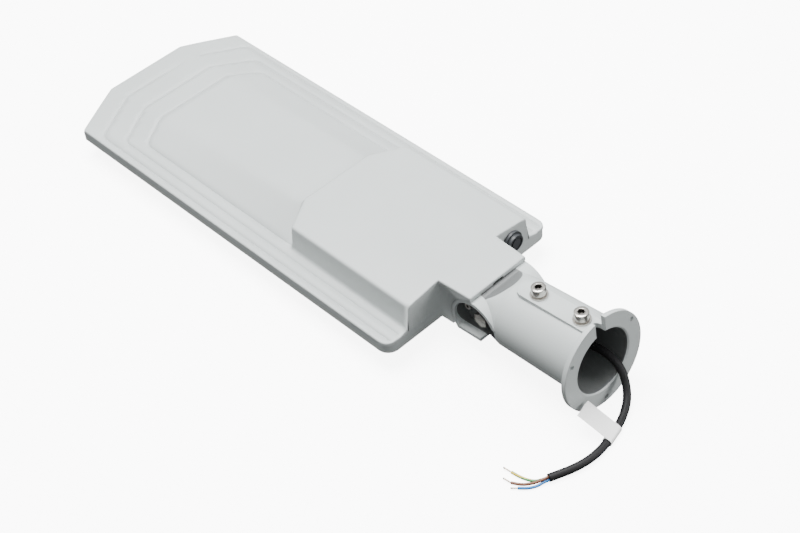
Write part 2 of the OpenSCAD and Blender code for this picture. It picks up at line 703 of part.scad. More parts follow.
module cable_tail() {
    color(rubber) on_head() swept(tail_route, cable_d / 2, 12, [0, 0, 1], cable_d * 0.28);
}
module input_leads() {
    wire_z = gear_z - block_h / 2;
    on_head() for (i = [0:2]) color([[0.1, 0.35, 0.7], [0.45, 0.65, 0.15], [0.45, 0.25, 0.12]][i])
        swept([[-2.2 + 2.2 * i, tail_end + 0.1, gland_z], [-2.3 + 2.3 * i, tail_end + 1.5, gland_z],
            [surge_x - 4 + 13 * i, block_y - 2.5, wire_z - 1],
            [surge_x + 2 + 14 * i, block_y - 0.5, wire_z],
            [surge_x + 2 + 14 * i, block_y + 5, wire_z]], 0.8, 8, [0, 0, 1]);
}
module driver_leads() {
    on_head() for (i = [0:1]) color([[0.1, 0.35, 0.7], [0.45, 0.25, 0.12]][i])
        swept([[surge_x + 2 + 14 * i, block_y + block_l - 4, gear_z - block_h / 2],
            [surge_x + 2 + 14 * i, block_y + block_l + 3, gear_z - block_h / 2],
            [surge_x - 6 + 6 * i, block_y + block_l + 9 + 3 * i, gear_z - 9],
            [driver_x + driver_w + 1 + 0.5 * i, block_y + block_l + 12 + 3 * i, gear_z - 9],
            [driver_x + driver_w, block_y + block_l + 12 + 3 * i, gear_z - 9]], 1.1, 8, [0, 0, 1]);
}
module led_leads() {
    hole_y = chamber_y0 + 8;
    on_head() for (i = [0:1]) color([[0.75, 0.1, 0.1], [0.1, 0.1, 0.1]][i])
        swept([[driver_x + 40 + 5 * i, lead_y + 10.1, 8], [driver_x + 40 + 5 * i, lead_y + 16, 8],
            [-3 + 3 * i, bay_y1 - 2, 8], [-1.3 + 2.6 * i, hole_y - 12, 9],
            [-1.3 + 2.6 * i, hole_y - 3, 7.5], [-1.3 + 2.6 * i, hole_y, 3],
            [-1.3 + 2.6 * i, hole_y, board_z + 0.3]], 0.9, 8, [1, 0, 0]);
}

// ---- Breather ----
module at_breather() {
    translate([breather_x, neck_len, breather_z]) rotate([90, 0, 0]) children();
}
washer_seal_t = 1;
module breather_plug() {
    color([0.25, 0.26, 0.27]) on_head() at_breather() {
        translate([0, 0, washer_seal_t]) cylinder(r = breather_r, h = 2.6);
        difference() {
            translate([0, 0, washer_seal_t + 1]) cylinder(r = breather_r - 2, h = 5);
            difference() {
                translate([0, 0, washer_seal_t + 5]) cylinder(r = breather_r - 3.6, h = 3);
                translate([0, 0, washer_seal_t + 4]) cylinder(r = breather_r - 5.4, h = 5);
            }
        }
        translate([0, 0, -wall_t - 4]) cylinder(r = breather_hole_r, h = wall_t + 6);
    }
}
module breather_seal() {
    color(rubber) on_head() at_breather() difference() {
        cylinder(r = breather_r - 0.8, h = washer_seal_t);
        translate([0, 0, -1]) cylinder(r = breather_hole_r + fit, h = washer_seal_t + 2);
    }
}
module breather_nut() {
    color([0.25, 0.26, 0.27]) on_head() at_breather() translate([0, 0, -wall_t - 3]) difference() {
        cylinder(r = 9.5, h = 3, $fn = 6);
        translate([0, 0, -1]) cylinder(r = breather_hole_r + fit, h = 5);
    }
}

// ---- Door ----
module door_seal() {
    color(rubber) on_head() translate([0, 0, reb_z - seal_t]) linear_extrude(seal_t) difference() {
        plate(bay_x + 1 + seal_w, bay_y0 + 1.5, bay_y1 + 0.5 + seal_w, 6);
        plate(bay_x + 1, bay_y0 + 1.5 + seal_w, bay_y1 + 0.5, 5);
    }
}
module hinge_pins() {
    reach = knuckle_w / 2 + gap + ear_w;
    color(steel) on_head() mirrored() translate([knuckle_x, hinge_y, hinge_z]) along_x(pin_r, -reach, reach);
}
module bay_door() {
    color(paint) on_head() {
        difference() {
            union() {
                slab(door_x, door_y0, door_y1, 3, rim_z, rim_z + door_t);
                mirrored() {
                    translate([knuckle_x, hinge_y, hinge_z]) along_x(hinge_r, -knuckle_w / 2, knuckle_w / 2);
                    box(knuckle_x - knuckle_w / 2, knuckle_x + knuckle_w / 2, door_y1 - 2, hinge_y, rim_z,
                        rim_z + door_t);
                }
                // Stiffening ribs inside the bay
                for (y = [bay_y0 + 40, bay_y1 - 45]) box(-bay_x + 12, bay_x - 12, y, y + 2.5, rim_z, reb_z - 1);
            }
            translate([0, hinge_y, hinge_z]) mirrored() along_x(pin_r + fit, 0, door_x);
            door_screw_places() translate([0, 0, rim_z - 1]) cylinder(r = 2.5 + fit, h = door_t + 2);
        }
    }
}
module door_screws() {
    color(steel) on_head() door_screw_places() translate([0, 0, rim_z]) mirror([0, 0, 1])
        cap_screw(5, 4.25, 4, door_t + 6);
}
module door_retainers() {
    color(rubber) on_head() door_screw_places() translate([0, 0, rim_z + door_t]) difference() {
        cylinder(r = 3.4, h = 0.8);
        translate([0, 0, -1]) cylinder(r = 2.5 + fit, h = 3);
    }
}

spigot_bracket();
clamp_screws();
clamp_washers();
angle_lock_screw();
supply_cable();
cable_label();
core_green_yellow();
core_brown();
core_blue();
core_ends();
housing();
pivot_bolts();
pivot_washers();
led_boards();
led_chips();
lens_plates();
lens_screws();
glass_gasket();
glass_cover();
glass_frame();
frame_screws();
gear_tray();
tray_screws();
led_driver();
surge_protector();
terminal_block();
cable_gland();
gland_nut();
cable_tail();
input_leads();
driver_leads();
led_leads();
breather_plug();
breather_seal();
breather_nut();
door_seal();
hinge_pins();
bay_door();
door_screws();
door_retainers();
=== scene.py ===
import json
import math
import bpy
import bmesh
import numpy as np
from mathutils import Matrix, Vector
from mathutils.geometry import delaunay_2d_cdt
from mathutils.bvhtree import BVHTree

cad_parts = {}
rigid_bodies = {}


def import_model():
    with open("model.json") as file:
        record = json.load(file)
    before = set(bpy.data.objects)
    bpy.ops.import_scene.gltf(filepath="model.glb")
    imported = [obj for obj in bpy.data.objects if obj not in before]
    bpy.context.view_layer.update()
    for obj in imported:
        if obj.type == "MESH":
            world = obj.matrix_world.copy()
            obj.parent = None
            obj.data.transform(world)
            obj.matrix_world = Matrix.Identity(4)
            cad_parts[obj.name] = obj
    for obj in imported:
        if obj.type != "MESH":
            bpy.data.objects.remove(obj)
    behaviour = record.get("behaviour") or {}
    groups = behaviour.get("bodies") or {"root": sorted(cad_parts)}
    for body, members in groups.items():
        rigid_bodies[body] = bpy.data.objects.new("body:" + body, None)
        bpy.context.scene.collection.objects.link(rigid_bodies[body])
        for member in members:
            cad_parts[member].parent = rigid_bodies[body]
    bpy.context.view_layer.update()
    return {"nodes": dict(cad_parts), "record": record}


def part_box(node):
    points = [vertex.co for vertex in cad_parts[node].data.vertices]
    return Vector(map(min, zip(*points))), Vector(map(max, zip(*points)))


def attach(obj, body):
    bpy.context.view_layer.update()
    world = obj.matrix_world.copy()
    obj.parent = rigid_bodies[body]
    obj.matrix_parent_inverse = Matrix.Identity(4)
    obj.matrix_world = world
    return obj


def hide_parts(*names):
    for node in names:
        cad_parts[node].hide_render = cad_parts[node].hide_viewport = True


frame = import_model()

nodes = frame["nodes"]
joints = {j["name"]: j for j in frame["record"]["behaviour"]["joints"]}
tiltAxis = Vector(joints["head_tilt"]["pos_m"])
spigotDip = math.radians(4)      # the spigot's axis falls from the mouth to the tilt joint
spigotAxis = Vector((0, math.cos(spigotDip), -math.sin(spigotDip)))
spigotUp = Vector((0, math.sin(spigotDip), math.cos(spigotDip)))
scene = bpy.context.scene
print("frame loaded:", len(nodes), "nodes")


def mm(*values):
    return Vector([v / 1000 for v in values])


def addObject(name, data):
    obj = bpy.data.objects.new(name, data)
    scene.collection.objects.link(obj)
    return obj


# The camera stands behind the spigot, on its left
cameraSet = {
    "place": (-703.4, -633.5, 1057.6),   # mm
    "turn": -38.51,                      # degrees from +Y, seen from above
    "height": 44.53,                     # degrees above the horizon
    "roll": -7.44,
    "lens": 77.0,
    "sensor": 36,
}


def makeCamera(s):
    turn, height, roll = (math.radians(s[k]) for k in ("turn", "height", "roll"))
    ahead = Vector((-math.sin(turn) * math.cos(height), math.cos(turn) * math.cos(height),
                    -math.sin(height)))
    right = ahead.cross(Vector((0, 0, 1))).normalized()
    up = right.cross(ahead)
    imageRight = right * math.cos(roll) + up * math.sin(roll)
    imageUp = up * math.cos(roll) - right * math.sin(roll)
    cam = bpy.data.cameras.new("mainCamera")
    cam.lens = s["lens"]
    cam.sensor_width = s["sensor"]
    cam.clip_start = 0.01
    obj = addObject("mainCamera", cam)
    turned = Matrix((imageRight, imageUp, -ahead)).transposed()
    obj.matrix_world = Matrix.Translation(mm(*s["place"])) @ turned.to_4x4()
    scene.camera = obj
    print("camera made")


makeCamera(cameraSet)


def newMaterial(name):
    mat = bpy.data.materials.new(name)
    mat.use_nodes = True
    tree = mat.node_tree
    return mat, tree, tree.nodes["Principled BSDF"]


def addNode(tree, kind, **values):
    # A value goes to the input of that name, or else to the node itself
    node = tree.nodes.new(kind)
    for key, value in values.items():
        if key in node.inputs:
            node.inputs[key].default_value = value
        else:
            setattr(node, key, value)
    return node


def objectCoords(tree):
    return addNode(tree, "ShaderNodeTexCoord").outputs["Object"]


def noiseOf(tree, scale, detail=2.0, rough=0.5, stretch=None):
    coords = objectCoords(tree)
    if stretch:
        mapping = addNode(tree, "ShaderNodeMapping", Scale=stretch)
        tree.links.new(coords, mapping.inputs["Vector"])
        coords = mapping.outputs["Vector"]
    noise = addNode(tree, "ShaderNodeTexNoise", Scale=scale, Detail=detail, Roughness=rough)
    tree.links.new(coords, noise.inputs["Vector"])
    return noise.outputs["Fac"]


def rampOf(tree, fac, stops):
    ramp = addNode(tree, "ShaderNodeValToRGB")
    while len(ramp.color_ramp.elements) < len(stops):
        ramp.color_ramp.elements.new(0.5)
    for element, (place, colour) in zip(ramp.color_ramp.elements, stops):
        element.position = place
        element.color = (*colour, 1)
    tree.links.new(fac, ramp.inputs["Fac"])
    return ramp.outputs["Color"]


def bumpOf(tree, shader, fac, strength, distance, edge=0.0):
    # edge, in metres, softens the corners in the shading
    bump = addNode(tree, "ShaderNodeBump", Strength=strength, Distance=distance)
    if edge:
        softEdge = addNode(tree, "ShaderNodeBevel", Radius=edge, samples=4)
        tree.links.new(softEdge.outputs["Normal"], bump.inputs["Normal"])
    tree.links.new(fac, bump.inputs["Height"])
    tree.links.new(bump.outputs["Normal"], shader.inputs["Normal"])


def roughnessOf(tree, shader, fac, low, high):
    span = addNode(tree, "ShaderNodeMapRange")
    span.inputs["To Min"].default_value = low
    span.inputs["To Max"].default_value = high
    tree.links.new(fac, span.inputs["Value"])
    tree.links.new(span.outputs["Result"], shader.inputs["Roughness"])


def scaled(colour, by):
    return tuple(min(1, c * by) for c in colour)


# Pale grey powder coat; depths and radii in metres
paintSet = {
    "colour": (0.455, 0.485, 0.480), "shade": 0.965, "cloud": 14, "rough": (0.42, 0.54),
    "grain": 900, "bump": 0.12, "depth": 0.0004, "edge": 0.0009,
    # The dark bore tone below is painted shade, standing in for the shade deep inside the
    # spigot's bore
    "boreShade": (0.12, 0.126, 0.126), "boreRadius": 0.0308,
}


def insideBore(tree, radius):
    # 1 nearer to the spigot's axis than the radius, 0 outside it
    spot = objectCoords(tree)
    along = addNode(tree, "ShaderNodeVectorMath", operation="DOT_PRODUCT")
    along.inputs[1].default_value = spigotAxis
    onAxis = addNode(tree, "ShaderNodeVectorMath", operation="SCALE")
    onAxis.inputs[0].default_value = spigotAxis
    off = addNode(tree, "ShaderNodeVectorMath", operation="DISTANCE")
    inside = addNode(tree, "ShaderNodeMath", operation="LESS_THAN")
    inside.inputs[1].default_value = radius
    tree.links.new(spot, along.inputs[0])
    tree.links.new(along.outputs["Value"], onAxis.inputs["Scale"])
    tree.links.new(spot, off.inputs[0])
    tree.links.new(onAxis.outputs["Vector"], off.inputs[1])
    tree.links.new(off.outputs["Value"], inside.inputs[0])
    return inside.outputs["Value"]


def powderCoat(name, s, shadedBore=False):
    mat, tree, shader = newMaterial(name)
    cloud = noiseOf(tree, s["cloud"], 3)
    colour = rampOf(tree, cloud, [(0.35, scaled(s["colour"], s["shade"])), (0.65, s["colour"])])
    # Painted shade: within the bore's radius of the spigot's axis the coat turns dark, standing
    # in for the shade inside the bore
    if shadedBore:
        boreShadeMix = addNode(tree, "ShaderNodeMix", data_type="RGBA")
        boreShadeMix.inputs["B"].default_value = (*s["boreShade"], 1)
        tree.links.new(insideBore(tree, s["boreRadius"]), boreShadeMix.inputs["Factor"])
        tree.links.new(colour, boreShadeMix.inputs["A"])
        colour = boreShadeMix.outputs["Result"]
    tree.links.new(colour, shader.inputs["Base Color"])
    grain = noiseOf(tree, s["grain"], 2)
    roughnessOf(tree, shader, grain, *s["rough"])
    bumpOf(tree, shader, grain, s["bump"], s["depth"], s["edge"])
    return mat


def plastic(name, colour, rough=(0.35, 0.5), grain=700, bump=0.1, shade=0.9, gloss=0.5):
    mat, tree, shader = newMaterial(name)
    shader.inputs["Specular IOR Level"].default_value = gloss
    cloud = noiseOf(tree, scale=60, detail=3)
    mixed = rampOf(tree, cloud, [(0.35, scaled(colour, shade)), (0.65, colour)])
    tree.links.new(mixed, shader.inputs["Base Color"])
    fine = noiseOf(tree, grain, 2)
    roughnessOf(tree, shader, fine, *rough)
    bumpOf(tree, shader, fine, bump, distance=0.0003)
    return mat


def metal(name, colour, rough=(0.18, 0.32), stretch=(1, 1, 1), bump=0.03):
    mat, tree, shader = newMaterial(name)
    shader.inputs["Metallic"].default_value = 1.0
    fine = noiseOf(tree, scale=600, detail=3, rough=0.6, stretch=stretch)
    mixed = rampOf(tree, fine, [(0.3, scaled(colour, 0.93)), (0.7, colour)])
    tree.links.new(mixed, shader.inputs["Base Color"])
    roughnessOf(tree, shader, fine, *rough)
    bumpOf(tree, shader, fine, bump, distance=0.0001)
    return mat


def clear(name, colour, rough, ior):
    mat, tree, shader = newMaterial(name)
    shader.inputs["Transmission Weight"].default_value = 1.0
    shader.inputs["IOR"].default_value = ior
    fine = noiseOf(tree, scale=40, detail=2)
    mixed = rampOf(tree, fine, [(0.4, scaled(colour, 0.98)), (0.6, colour)])
    tree.links.new(mixed, shader.inputs["Base Color"])
    roughnessOf(tree, shader, fine, rough, rough + 0.02)
    return mat


materials = {
    "paint": powderCoat("powderCoat", paintSet),
    "steel": metal("screwSteel", (0.56, 0.535, 0.50), rough=(0.2, 0.3)),
    "cable_black": plastic("cableSheath", (0.010, 0.010, 0.011), rough=(0.5, 0.62), grain=900,
                           bump=0.15, gloss=0.22),
    "label_white": plastic("labelFilm", (0.93, 0.93, 0.92), rough=(0.3, 0.4), grain=300,
                           bump=0.05, shade=0.98),
    "core_green": plastic("coreGreen", (0.05, 0.30, 0.10)),
    "core_yellow": plastic("coreYellow", (0.72, 0.52, 0.03)),
    "core_brown": plastic("coreBrown", (0.17, 0.065, 0.03)),
    "core_blue": plastic("coreBlue", (0.015, 0.17, 0.48)),
    # Dark steel inside the hex sockets is painted shade for the hollow
    "socketShade": metal("screwSocketShade", (0.10, 0.095, 0.09), rough=(0.4, 0.5)),
    "tinned": metal("tinnedStrands", (0.72, 0.62, 0.50), rough=(0.3, 0.45)),
    "board_white": plastic("boardMask", (0.80, 0.82, 0.80), rough=(0.3, 0.4), grain=500,
                           bump=0.04, shade=0.97),
    "chip_yellow": plastic("chipPhosphor", (0.85, 0.58, 0.06), rough=(0.3, 0.4), grain=900,
                           bump=0.05),
    "lens_clear": clear("lensAcrylic", (0.97, 0.98, 0.98), rough=0.03, ior=1.49),
    "seal_black": plastic("sealRubber", (0.018, 0.018, 0.018), rough=(0.6, 0.75), grain=800,
                          bump=0.2),
    "glass_clear": clear("coverGlass", (0.94, 0.98, 0.96), rough=0.01, ior=1.52),
    "tray_metal": metal("trayZinc", (0.62, 0.63, 0.64), rough=(0.3, 0.45), stretch=(1, 6, 1)),
    "driver_case": plastic("driverCase", (0.78, 0.78, 0.76), rough=(0.3, 0.45), grain=600,
                           bump=0.08),
    "surge_case": plastic("surgeCase", (0.55, 0.07, 0.03), rough=(0.3, 0.4)),
    "block_plastic": plastic("blockPlastic", (0.75, 0.74, 0.68), rough=(0.4, 0.5)),
    "gland_plastic": plastic("glandPlastic", (0.035, 0.038, 0.042), rough=(0.38, 0.5),
                             bump=0.15),
    "lead_red": plastic("leadRed", (0.35, 0.015, 0.012)),
}
# The spigot's coat carries painted shade in its bore
spigotCoat = powderCoat("spigotCoat", paintSet, shadedBore=True)
slotOf = {p["node"]: p["material_slot"] for p in frame["record"]["subparts"]}
for name, obj in nodes.items():
    if not obj.material_slots:
        obj.data.materials.append(None)
    for place in obj.material_slots:
        place.material = spigotCoat if name == "spigot_bracket" else materials[slotOf[name]]
print("materials made:", len(materials) + 1)


# Supply cable, mm; its route starts at the tilt joint and leaves by the mouth
cableSet = {
    "diameter": 7.2, "sides": 24, "steps": 6,
    "route": [(0, 117.5, -13.2), (0, 116, -13.2), (0, 106, -13.4), (1, 92, -13.5),
              (4, 76, -13.5), (8, 60, -13), (12, 44, -12.5), (15.5, 28, -12.5),
              (17.5, 14, -13.5), (18, 2, -17.5), (16.5, -6, -23), (14, -11.5, -29),
              (9.5, -17, -34.5), (3, -22, -38.5), (-6, -26.5, -41.5), (-16, -30, -43),
              (-27, -33, -43.1), (-39, -35.5, -43.1), (-51, -36.5, -43.1), (-63, -35.5, -43.1),
              (-75, -32.5, -43.1), (-85.5, -28.5, -43.1), (-95, -24.5, -43.1)],
}


def smoothLine(points, steps):
    # Catmull-Rom line through the points
    ends = [points[0] * 2 - points[1], *points, points[-1] * 2 - points[-2]]
    line = []
    for i in range(1, len(ends) - 2):
        a, b, c, d = ends[i - 1:i + 3]
        for k in range(steps):
            t = k / steps
            line.append(0.5 * (2 * b + (c - a) * t + (2 * a - 5 * b + 4 * c - d) * t * t
                               + (3 * b - a - 3 * c + d) * t ** 3))
    return line + [points[-1]]


def lineLength(line):
    return sum((b - a).length for a, b in zip(line, line[1:]))


def tubeAlong(name, line, radius, sides, material=None):
    # Round capped tube on a line, with one ring at each point
    verts, faces = [], []
    side = None
    for i, p in enumerate(line):
        ahead = (line[min(i + 1, len(line) - 1)] - line[max(i - 1, 0)]).normalized()
        if side is None:
            side = ahead.cross(Vector((0, 0, 1)))
            if side.length < 0.1:
                side = ahead.cross(Vector((1, 0, 0)))
        side = (side - ahead * side.dot(ahead)).normalized()
        over = ahead.cross(side)
        for k in range(sides):
            a = 2 * math.pi * k / sides
            verts.append(p + (side * math.cos(a) + over * math.sin(a)) * radius)
    for low in range(0, (len(line) - 1) * sides, sides):
        high = low + sides
        for k in range(sides):
            n = (k + 1) % sides
            faces.append((low + k, low + n, high + n, high + k))
    faces.append(tuple(range(sides))[::-1])
    faces.append(tuple(range(len(verts) - sides, len(verts))))
    mesh = bpy.data.meshes.new(name)
    mesh.from_pydata([tuple(v) for v in verts], [], faces)
    if material:
        mesh.materials.append(material)
    for poly in mesh.polygons:
        poly.use_smooth = len(poly.vertices) == 4
    return addObject(name, mesh)


def makeCable(s, cores):
    line = smoothLine([mm(*p) for p in s["route"]], s["steps"])
    cable = tubeAlong("supplyCable", line, s["diameter"] / 2000, s["sides"],
                      materials["cable_black"])
    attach(cable, "spigot")
    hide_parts("supply_cable")
    print("cable length, mm:", round(lineLength(line) * 1000))


# The three cores and their bare strands, mm
coreSet = {
    "diameter": 2.6, "sides": 16, "steps": 8,
    "core_green_yellow": [(-94.5, -23.2, -43.9), (-99.2, -21.1, -44.2), (-103.5, -17.5, -45),
                          (-106.5, -12, -45.3), (-108.5, -5, -45.3), (-109.6, 3, -45.3)],
    "core_brown": [(-95.1, -24.5, -41.5), (-100.3, -22.5, -42.2), (-106.5, -18.5, -44),
                   (-111.5, -13.5, -45.3), (-115, -9, -45.3), (-117.7, -4, -45.3)],
    "core_blue": [(-95.6, -25.8, -43.9), (-100.4, -24, -44.3), (-106.5, -21.8, -45.3),
                  (-112.5, -18, -45.3), (-118, -12, -45.3)],
    "ends": [[(-109.5, 2.4, -45.3), (-110.5, 11.5, -45.3)],
             [(-117.6, -4.6, -45.3), (-118.6, 4, -45.3)],
             [(-117.4, -12.6, -45.3), (-122, -7.5, -45.3)]],
    "strands": 7, "strandSize": 0.42, "strandSides": 8, "strandSteps": 8,
    "strandOut": 0.4675,          # from the middle strand to the others
    "twist": 1.6,                 # radians from the insulation to the tip
    "flare": 0.25, "uneven": 0.03,
    "bands": 2, "bandWidth": 3, "bandTurn": 5,      # sides, and rings for one side's turn
}


def strandLine(s, k, a, b):
    # The middle strand is straight and the others wind round it
    along = (b - a).normalized()
    side = along.cross(Vector((0, 0, 1))).normalized()
    over = along.cross(side)
    out = s["strandOut"] / 1000 if k else 0
    line = []
    for i in range(s["strandSteps"] + 1):
        t = i / s["strandSteps"]
        turn = 2 * math.pi * (k / (s["strands"] - 1)) + t * s["twist"]
        spread = out * (1 + s["flare"] * t * t)
        middle = a.lerp(b, t * (1 - s["uneven"] * (k % 3)))
        line.append(middle + (side * math.cos(turn) + over * math.sin(turn)) * spread)
    return line


def bandGreen(core, s):
    # Yellow bands run along the green insulation, winding slowly
    core.data.materials.append(materials["core_yellow"])
    for poly in core.data.polygons:
        ring, side = divmod(poly.index, s["sides"])
        if (side + ring // s["bandTurn"]) % (s["sides"] // s["bands"]) < s["bandWidth"]:
            poly.material_index = 1


def makeCores(s):
    slots = {"core_green_yellow": "core_green", "core_brown": "core_brown",
             "core_blue": "core_blue"}
    pieces = []
    for node, slot in slots.items():
        line = smoothLine([mm(*p) for p in s[node]], s["steps"])
        core = tubeAlong(slot + "Insulation", line, s["diameter"] / 2000, s["sides"],
                         materials[slot])
        if slot == "core_green":
            bandGreen(core, s)
        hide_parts(node)
        pieces.append((core, slot))
    ends = bmesh.new()
    for start, stop in s["ends"]:
        for k in range(s["strands"]):
            strand = tubeAlong("strand", strandLine(s, k, mm(*start), mm(*stop)),
                               s["strandSize"] / 2000, s["strandSides"])
            ends.from_mesh(strand.data)
            bpy.data.objects.remove(strand)
    mesh = bpy.data.meshes.new("bareStrands")
    ends.to_mesh(mesh)
    ends.free()
    mesh.materials.append(materials["tinned"])
    strands = addObject("bareStrands", mesh)
    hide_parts("core_ends")
    pieces.append((strands, "tinned"))
    for piece, slot in pieces:
        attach(piece, "spigot")
    print("cores made:", len(slots))
    return [piece for piece, _ in pieces]


makeCable(cableSet, makeCores(coreSet))


# Housing, mm; Y and Z are counted from the tilt axis
housingSet = {
    "halfWidth": 100.5, "length": 507.0, "tipHalf": 45.0, "corner": 481.0,
    "rear": 38.0, "outlineCorners": (1.5, 0, 12, 4, 3),      # radii from the neck to the tip
    "neckEnd": 1.5, "neckHalf": 34.0, "neckRoot": 35.8, "plateTop": 32.5,
    "edge": -0.4, "knee": 73.5, "kneeHeight": 1.9, "kneeRise": 0.5, "kneeRun": 470.0,
    "tipHeight": 4.6, "slope": 0.0594,
    "ridgeAt": [38.3, 209, 507], "ridge": [35.7, 38.5, 45],     # flat top's half width along Y
    "soften": (-3, -1.5, 0, 1.5, 3),                # steps that soften the roof's bends
    "humpFoot": 75.0, "humpTop": 73.0, "humpFront": 211.0, "humpCorner": 191.0, "humpTip": 41.0,
    "humpHeight": 27.3, "crownEnd": 209.0, "draft": 2.0, "fullWall": 10.0,
    "humpCorners": (0, 5, 8),
    "grooves": [(6.6, 26.0), (16.3, 55.6), (26.8, 82.2)],    # inset at the side and at the front
    "grooveWidth": 1.7, "grooveDepth": 1.15, "grooveCorners": (0, 10, 6), "tipInset": 3.0,
    "humpFade": (2.0, 14.0), "tipFade": (2.0, 30.0),         # where a fade starts and its length
    "edgeRound": 1.3, "footRound": 3.5, "crestRound": 3.2,
    "skirt": 2.6, "neckSkirt": 0.9,                  # how far the skin's border turns down
    "lowBorder": 2.6, "highBorder": 1.5,             # how far the casting's border is lowered
    "lineStart": 2.5, "lineStep": 4.0,               # grooves start past the rear wall
    "gridStep": 6.0, "gridHalf": 98.0, "gridFrom": 3.0, "gridTo": 505.0,
    "clearEdge": 2.5, "clearGroove": 2.2, "clearHump": 5.5,
    "sharp": 28,
}
# Pairs of a distance, as a share of the radius or half width, and the height left there
roundProfile = ((0, 1), (0.12, 0.5), (0.3, 0.22), (0.6, 0.05), (1, 0))
grooveProfile = ((0, 1), (0.35, 0.8), (0.75, 0.3), (1, 0.08), (1.5, 0))
grooveRings = (-1, -0.6, -0.25, 0, 0.25, 0.6, 1)
edgeRings = (0.12, 0.4, 0.8, 1.3)      # scaled so that the last is at edgeRound


def roundCorners(points, radii, steps=5):
    # Polyline with its corners turned into arcs
    out = []
    for i, (p, r) in enumerate(zip(points, radii)):
        if r <= 0 or i in (0, len(points) - 1):
            out.append(Vector(p))
            continue
        p, a, b = Vector(p), Vector(points[i - 1]), Vector(points[i + 1])
        u, v = (a - p).normalized(), (b - p).normalized()
        half = u.angle(v) / 2
        reach = min(r / math.tan(half), 0.45 * (a - p).length, 0.45 * (b - p).length)
        start, end = p + u * reach, p + v * reach
        for k in range(steps + 1):
            t = k / steps
            out.append(start * (1 - t) ** 2 + p * 2 * t * (1 - t) + end * t ** 2)
    return out


def resample(points, step):
    out = []
    for a, b in zip(points, points[1:]):
        n = max(1, round((b - a).length / step))
        out += [a.lerp(b, k / n) for k in range(n)]
    return out + [points[-1]]


def offsetLine(points, d, closed=False):
    # Line moved to its left by d
    out, n = [], len(points)
    for i, p in enumerate(points):
        before = points[i - 1] if closed or i else None
        after = points[(i + 1) % n] if closed or i < n - 1 else None
        u = (p - before).normalized() if before is not None else (after - p).normalized()
        v = (after - p).normalized() if after is not None else u
        un, vn = Vector((-u.y, u.x)), Vector((-v.y, v.x))
        m = (un + vn).normalized()
        out.append(p + m * d / max(0.4, m.dot(un)))
    return out


def distanceTo(points, line):
    # Shortest distance of every point to a polyline
    best = np.full(len(points), 1e9)
    for a, b in zip(line, line[1:]):
        a, b = np.array(a), np.array(b)
        ab = b - a
        length = ab @ ab
        if length < 1e-12:
            continue
        t = np.clip(((points - a) @ ab) / length, 0, 1)
        best = np.minimum(best, np.linalg.norm(points - (a + t[:, None] * ab), axis=1))
    return best


def mirrored(right):
    # The right half's points, then the same points on the left
    return right + [(-a, b) for a, b in right[::-1]]


def bothSides(radii):
    return [*radii, *reversed(radii)]


def tipSlope(s):
    return (s["length"] - s["corner"]) / (s["halfWidth"] - s["tipHalf"])


def nestedLine(s, side, front):
    # U-shaped line: up the right side, round the tip and down the left side
    x = s["halfWidth"] - side
    tip = s["tipHalf"] - s["tipInset"]
    y = s["length"] - front
    turn = y - (x - tip) * tipSlope(s)
    points = mirrored([(x, s["rear"]), (x, turn), (tip, y)])
    return roundCorners(points, bothSides(s["grooveCorners"]))


def housingOutline(s):
    w = s["halfWidth"]
    points = mirrored([(s["neckHalf"], s["neckEnd"]), (s["neckRoot"], s["rear"]),
                       (w, s["rear"]), (w, s["corner"]), (s["tipHalf"], s["length"])])
    wrapped = [points[-1]] + points + [points[0]]
    return roundCorners(wrapped, [0, *bothSides(s["outlineCorners"]), 0], 6)[1:-1]


def humpLine(s):
    points = mirrored([(s["humpFoot"], -60), (s["humpFoot"], s["humpCorner"]),
                       (s["humpTip"], s["humpFront"])])
    return roundCorners(points, bothSides(s["humpCorners"]))


def roofHeight(s, x, y):
    # Flat ridge, slope to the knee, then a flatter slope to the edge
    ridge = np.interp(y, s["ridgeAt"], s["ridge"])
    centre = s["tipHeight"] + (s["length"] - y) * s["slope"]
    knee = s["kneeHeight"] + s["kneeRise"] * (y - s["rear"]) / s["kneeRun"]

    def at(v):
        inner = centre + (knee - centre) * np.clip((v - ridge) / (s["knee"] - ridge), 0, 1)
        share = np.clip((v - s["knee"]) / (s["halfWidth"] - s["knee"]), 0, 1)
        return np.where(v < s["knee"], inner, knee + (s["edge"] - knee) * share)

    return sum(at(np.abs(x + d)) for d in s["soften"]) / len(s["soften"])


def humpHeight(s, x, y):
    # The hump's top rises along its middle to meet the neck's plate
    ridge = np.interp(y, s["ridgeAt"], s["ridge"])
    crown = np.interp(y, [s["rear"], s["crownEnd"]], [s["plateTop"], s["humpHeight"]])

    def at(v):
        share = np.clip((v - ridge) / (s["humpTop"] - ridge), 0, 1)
        return crown + (s["humpHeight"] - crown) * share

    return sum(at(np.abs(x + d)) for d in s["soften"]) / len(s["soften"])


def insideHump(s, x, y):
    slope = (s["humpFront"] - s["humpCorner"]) / (s["humpFoot"] - s["humpTip"])
    inside = (x < s["humpFoot"]) & (y < s["humpCorner"])
    inside |= (x < s["humpTip"]) & (y < s["humpFront"])
    inside |= ((y >= s["humpCorner"]) & (y < s["humpFront"] - (x - s["humpTip"]) * slope)
               & (y < s["humpFront"]))
    return inside


